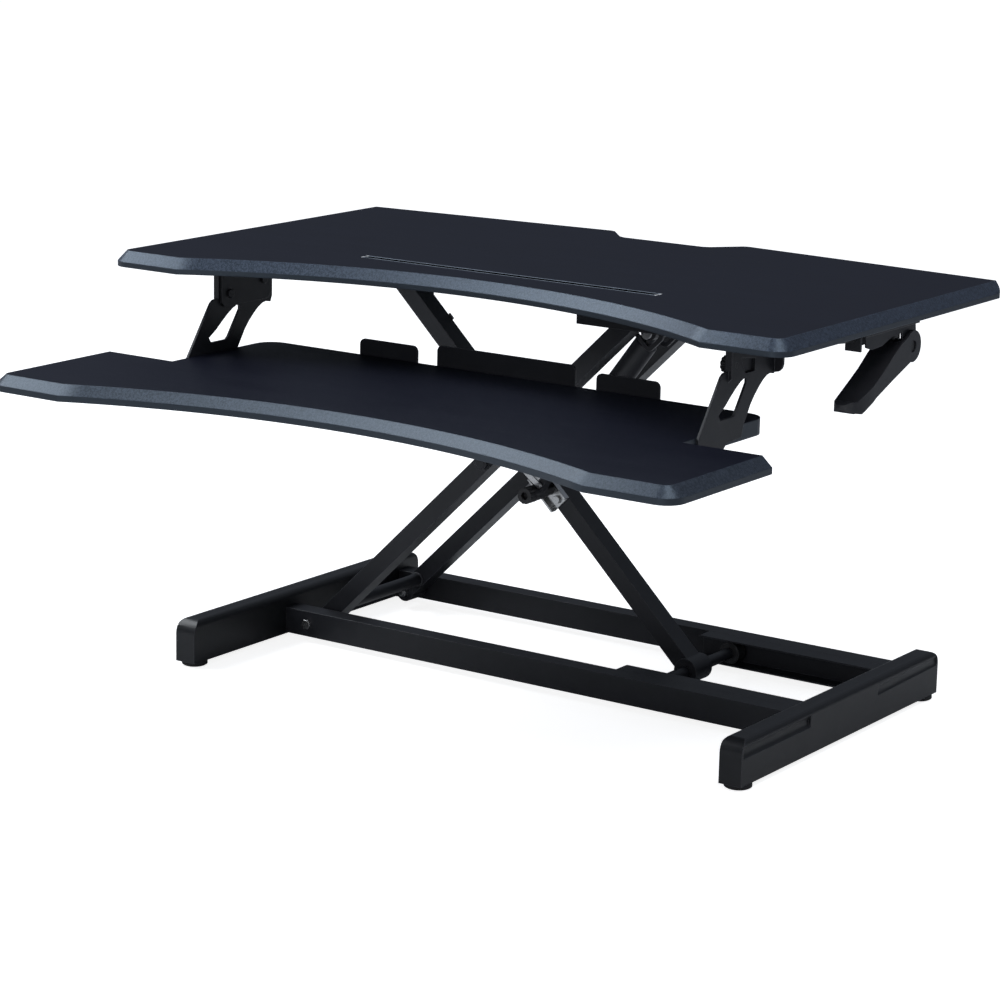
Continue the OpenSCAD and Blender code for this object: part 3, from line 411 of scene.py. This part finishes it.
def cable(name, points, segments=16, end_radius=CABLE_RADIUS):
    """Capped tube along points, with end_radius after SLEEVE_SHARE of them."""
    last = len(points) - 1
    tangents = [(points[min(last, i + 1)] - points[max(0, i - 1)]).normalized()
                for i in range(last + 1)]
    start = tangents[0]
    up = Vector((0, 0, 1)) if abs(start.z) < 0.9 else Vector((1, 0, 0))
    normal = (up - start * up.dot(start)).normalized()
    verts = []
    for i, (point, tangent) in enumerate(zip(points, tangents)):
        # Carrying the normal along keeps the tube free of twist.
        normal = (normal - tangent * normal.dot(tangent)).normalized()
        side = tangent.cross(normal)
        radius = CABLE_RADIUS if i / last < SLEEVE_SHARE else end_radius
        for k in range(segments):
            angle = 2 * math.pi * k / segments
            verts.append(point + (normal * math.cos(angle) + side * math.sin(angle)) * radius)
    faces = skin(last + 1, segments, closed=False)
    faces.append(tuple(range(segments - 1, -1, -1)))
    faces.append(tuple(last * segments + k for k in range(segments)))
    return smooth_object(name, verts, faces, materials["cable"])


def smooth_path(points, steps):
    """Catmull-Rom curve through the points, with steps per span."""
    points = [Vector(point) for point in points]
    padded = [points[0] * 2 - points[1]] + points + [points[-1] * 2 - points[-2]]
    path = []
    for a, b, c, d in zip(padded, padded[1:], padded[2:], padded[3:]):
        for k in range(steps):
            t = k / steps
            path.append(0.5 * ((2 * b) + (c - a) * t + (2 * a - 5 * b + 4 * c - d) * t * t
                               + (3 * b - a - 3 * c + d) * t ** 3))
    path.append(points[-1])
    return path


top_hinge = joints["top_hinge"]
arm_down = Vector((0.7145, 0.0, -0.6996))             # along the centre arm from its top hinge
arm_under = Vector((arm_down.z, 0.0, -arm_down.x))    # square to it, towards its underside


def on_arm(distance, y, drop=0.0):
    """Point at a distance down the centre arm, dropped towards its underside."""
    point = top_hinge + arm_down * distance + arm_under * drop
    return Vector((point.x, y, point.z))


# From the CAD cable under the worktop, back and down to the centre arm.
cable_low, cable_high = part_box("release_cable")
cable_x = cable_low.x + CABLE_RADIUS
arm_entry = on_arm(0.060, 0.2115)
upper_run = cable("cable_flexible", smooth_path([
    (cable_x, cable_high.y - 0.003, cable_low.z + CABLE_RADIUS),
    (cable_x, 0.112, 0.4768),
    (cable_x, 0.124, 0.4735),
    (cable_x, 0.160, 0.4725),
    (cable_x, 0.195, 0.4725),
    (cable_x, 0.212, 0.4685),
    (cable_x + 0.0015, 0.2185, 0.455),
    (cable_x + 0.003, 0.2155, 0.437),
    arm_entry,
    on_arm(0.064, 0.2113)], steps=10))
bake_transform(upper_run)

# Down the rear face of the arm, then forward beneath it.
arm_run = cable("cable_on_arm", smooth_path([
    on_arm(0.0601, 0.2115),
    on_arm(0.100, 0.2105),
    on_arm(0.150, 0.2105),
    on_arm(0.200, 0.2105),
    on_arm(0.222, 0.2100, 0.010),
    on_arm(0.236, 0.200, 0.0205),
    on_arm(0.246, 0.184, 0.0225),
    on_arm(0.253, 0.170, 0.0215),
    (-0.1240, 0.1570, 0.2720),
    (-0.1120, 0.1530, 0.2765),
    (-0.1070, 0.1515, 0.2772)], steps=8))
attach(arm_run, "centre_frame")

# The tail bends over to the spring rod.
tail_tip = (-0.0709, 0.1398, 0.2463)
tail_path = smooth_path([
    (-0.1122, 0.1531, 0.2764),
    (-0.1060, 0.1512, 0.2775),
    (-0.0970, 0.1480, 0.2765),
    (-0.0860, 0.1440, 0.2695),
    (-0.0770, 0.1408, 0.2570),
    tail_tip], steps=9)
tail = cable("cable_tail", tail_path, segments=14, end_radius=CORE_RADIUS)
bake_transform(tail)

# ---------------------------------------------------------------- cable clamps
CLAMP_Y = 0.2104              # just behind the rear face of the arm
CLAMP_WIDTH = 0.009
SADDLE_RADIUS = 0.0038
CLAMP_FOOT_LENGTH = 0.013
CLAMP_FOOT_THICKNESS = 0.0014


def cable_clamp(name, distance):
    """Round saddle over the cable with a screwed foot, on the rear face of the arm."""
    # Local x runs across the arm, y to the rear and z along the arm.
    clamp = bmesh.new()
    bmesh.ops.create_cone(clamp, cap_ends=True, segments=24, radius1=SADDLE_RADIUS,
                          radius2=SADDLE_RADIUS, depth=CLAMP_WIDTH)
    foot_size = (CLAMP_FOOT_LENGTH, CLAMP_FOOT_THICKNESS, CLAMP_WIDTH, 1)
    foot_place = Matrix.Translation((CLAMP_FOOT_LENGTH / 2, -0.0036, 0))
    bmesh.ops.create_cube(clamp, size=1.0, matrix=foot_place @ Matrix.Diagonal(foot_size))
    screw_place = Matrix.Translation((0.009, -0.0022, 0))
    bmesh.ops.create_cone(clamp, cap_ends=True, segments=18,
                          radius1=0.0030, radius2=0.0024, depth=0.0018,
                          matrix=screw_place @ Matrix.Rotation(math.radians(90), 4, "X"))
    across = -arm_under
    rearward = across.cross(arm_down)
    place = Matrix((across, rearward, arm_down)).transposed().to_4x4()
    place.translation = on_arm(distance, CLAMP_Y)
    bmesh.ops.transform(clamp, matrix=place, verts=clamp.verts)
    # These axes are left-handed, so the faces have to be turned outwards again.
    bmesh.ops.recalc_face_normals(clamp, faces=clamp.faces)
    mesh = bpy.data.meshes.new(name)
    clamp.to_mesh(mesh)
    clamp.free()
    piece = link_object(name, mesh, materials["zinc"])
    add_modifier(piece, "edge", "BEVEL", width=EDGE_WIDTH, segments=2, limit_method="ANGLE")
    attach(piece, "centre_frame")


cable_clamp("cable_clamp_1", distance=0.095)
cable_clamp("cable_clamp_2", distance=0.190)

# ---------------------------------------------------------------- weld beads
BEAD_RADIUS = 0.0014
BEAD_RINGS = 96
BEAD_SEGMENTS = 10
bead_random = np.random.RandomState(7)


def weld_bead(name, x, y, z, ring_radius, body):
    """Rippled bead round a tube that runs along Y."""
    centre, axis = Vector((x, y, z)), Vector((0, 1, 0))
    verts = []
    for i in range(BEAD_RINGS):
        turn = 2 * math.pi * i / BEAD_RINGS
        point = centre + Vector((math.cos(turn), 0, -math.sin(turn))) * ring_radius
        outward = (point - centre).normalized()
        ripple = 0.86 + 0.14 * math.cos(i * math.pi * 0.5)
        radius = BEAD_RADIUS * ripple * (1 + 0.05 * bead_random.randn())
        for k in range(BEAD_SEGMENTS):
            angle = 2 * math.pi * k / BEAD_SEGMENTS
            verts.append(point + outward * math.cos(angle) * radius
                         + axis * math.sin(angle) * radius)
    faces = skin(BEAD_RINGS, BEAD_SEGMENTS, closed=True)
    bead = smooth_object(name, verts, faces, materials["steel"])
    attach(bead, body)


tube_low, tube_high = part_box("lower_cross_tube")
tube_centre = (tube_low + tube_high) / 2
BEAD_INSET = 0.0004           # lower beads, in from the tube's ends
# place on the frame, centre in x and z, ring radius, body, front y, rear y
BEAD_PAIRS = [
    ("lower", tube_centre, 0.0083, "outer_frame",
     tube_low.y + BEAD_INSET, tube_high.y - BEAD_INSET),
    ("upper", joints["upper_front_roller_spin"], 0.0094, "outer_frame", 0.1204, 0.2636),
    ("hinge", top_hinge, 0.0113, "centre_frame", 0.1776, 0.2064),
]
for place, centre, ring_radius, body, front_y, rear_y in BEAD_PAIRS:
    for end, y in (("front", front_y), ("rear", rear_y)):
        weld_bead(f"weld_{place}_{end}", centre.x, y, centre.z, ring_radius, body)


# ---------------------------------------------------------------- floor and world
def floor_material():
    """Matt white that also glows, for the camera only."""
    shader = Shader("floor_white")
    light, lighter = (0.80, 0.80, 0.805), (0.83, 0.83, 0.83)
    shader.fill(shader.bsdf, {
        "Base Color": shader.mix(shader.noise(scale=3.0, detail=4), light, lighter),
        "Roughness": 0.75,
        "Specular IOR Level": 0.15})
    seen = shader.add("ShaderNodeLightPath").outputs["Is Camera Ray"]
    glow = shader.add("ShaderNodeEmission",
                      {"Color": (1, 1, 1), "Strength": shader.remap(seen, to=(0.0, 0.86))})
    total = shader.add("ShaderNodeAddShader", {0: shader.bsdf.outputs[0], 1: glow.outputs[0]})
    shader.put(total.outputs[0], shader.output.inputs[0])
    return shader.material


def build_world():
    """White to the camera; a dim ramp, brighter overhead, to every other ray."""
    world = bpy.data.worlds.new("studio")
    bpy.context.scene.world = world
    world.use_nodes = True
    graph = Graph(world.node_tree)
    direction = graph.add("ShaderNodeTexCoord").outputs["Generated"]
    height = graph.add("ShaderNodeSeparateXYZ", {0: direction}).outputs["Z"]
    ramp = graph.add("ShaderNodeValToRGB", {0: height})
    low, high = ramp.color_ramp.elements
    low.position, low.color = 0.05, (0.045, 0.049, 0.058, 1)
    high.position, high.color = 0.85, (0.26, 0.29, 0.34, 1)
    ambient = graph.tree.nodes["Background"]
    graph.fill(ambient, {"Color": ramp.outputs[0], "Strength": 1.0})
    white = graph.add("ShaderNodeBackground", {"Color": (1, 1, 1), "Strength": 1.0})
    seen = graph.add("ShaderNodeLightPath").outputs["Is Camera Ray"]
    mixed = graph.add("ShaderNodeMixShader",
                      {0: seen, 1: ambient.outputs[0], 2: white.outputs[0]})
    graph.put(mixed.outputs[0], graph.tree.nodes["World Output"].inputs[0])


white_floor = floor_material()
bpy.ops.mesh.primitive_plane_add(size=60, location=(0, 0, -0.0005))
floor = bpy.context.active_object
floor.name = "floor"
floor.data.materials.append(white_floor)
build_world()


# ---------------------------------------------------------------- lights and camera
def area_light(name, location, target, size, watts, color):
    light = bpy.data.lights.new(name, "AREA")
    light.shape = "RECTANGLE"
    light.size, light.size_y = size
    light.energy = watts
    light.color = color
    lamp = bpy.data.objects.new(name, light)
    lamp.location = location
    lamp.rotation_mode = "QUATERNION"
    aim = Vector(target) - Vector(location)
    lamp.rotation_quaternion = aim.to_track_quat("-Z", "Y")
    bpy.context.scene.collection.objects.link(lamp)


def build_camera(target, distance, azimuth, elevation, roll):
    """Camera at a distance from target; azimuth turns from the front (-Y) towards +X."""
    data = bpy.data.cameras.new("cam")
    camera = bpy.data.objects.new("cam", data)
    bpy.context.scene.collection.objects.link(camera)
    back = Vector((math.sin(azimuth) * math.cos(elevation),
                   -math.cos(azimuth) * math.cos(elevation), math.sin(elevation)))
    right = Vector((math.cos(azimuth), math.sin(azimuth), 0))
    up = back.cross(right)
    cosine, sine = math.cos(roll), math.sin(roll)
    rolled_right = right * cosine + up * sine
    rolled_up = right * -sine + up * cosine
    place = Matrix((rolled_right, rolled_up, back)).transposed().to_4x4()
    place.translation = Vector(target) + back * distance
    camera.matrix_world = place
    data.sensor_width = 36
    data.lens = 114.82164
    data.clip_start, data.clip_end = 0.05, 100
    bpy.context.scene.camera = camera


area_light("key_left", location=(-2.35, -0.75, 2.65), target=(0, 0, 0.35),
           size=(2.6, 1.5), watts=66, color=(0.92, 0.96, 1.0))
area_light("top_soft", location=(0.95, -0.2, 3.1), target=(0, 0, 0.35),
           size=(1.5, 1.5), watts=30, color=(0.95, 0.97, 1.0))
area_light("fill_front", location=(0.9, -3.4, 1.0), target=(0, 0, 0.3),
           size=(1.8, 1.0), watts=16, color=(0.97, 0.98, 1.0))
build_camera(target=(-0.00019, -0.00589, 0.2427), distance=3.6434,
             azimuth=math.radians(34.37), elevation=math.radians(13.2),
             roll=math.radians(1.19))

view = bpy.context.scene.view_settings
view.view_transform = "Standard"
view.look = "None"
view.exposure = 0
view.gamma = 1
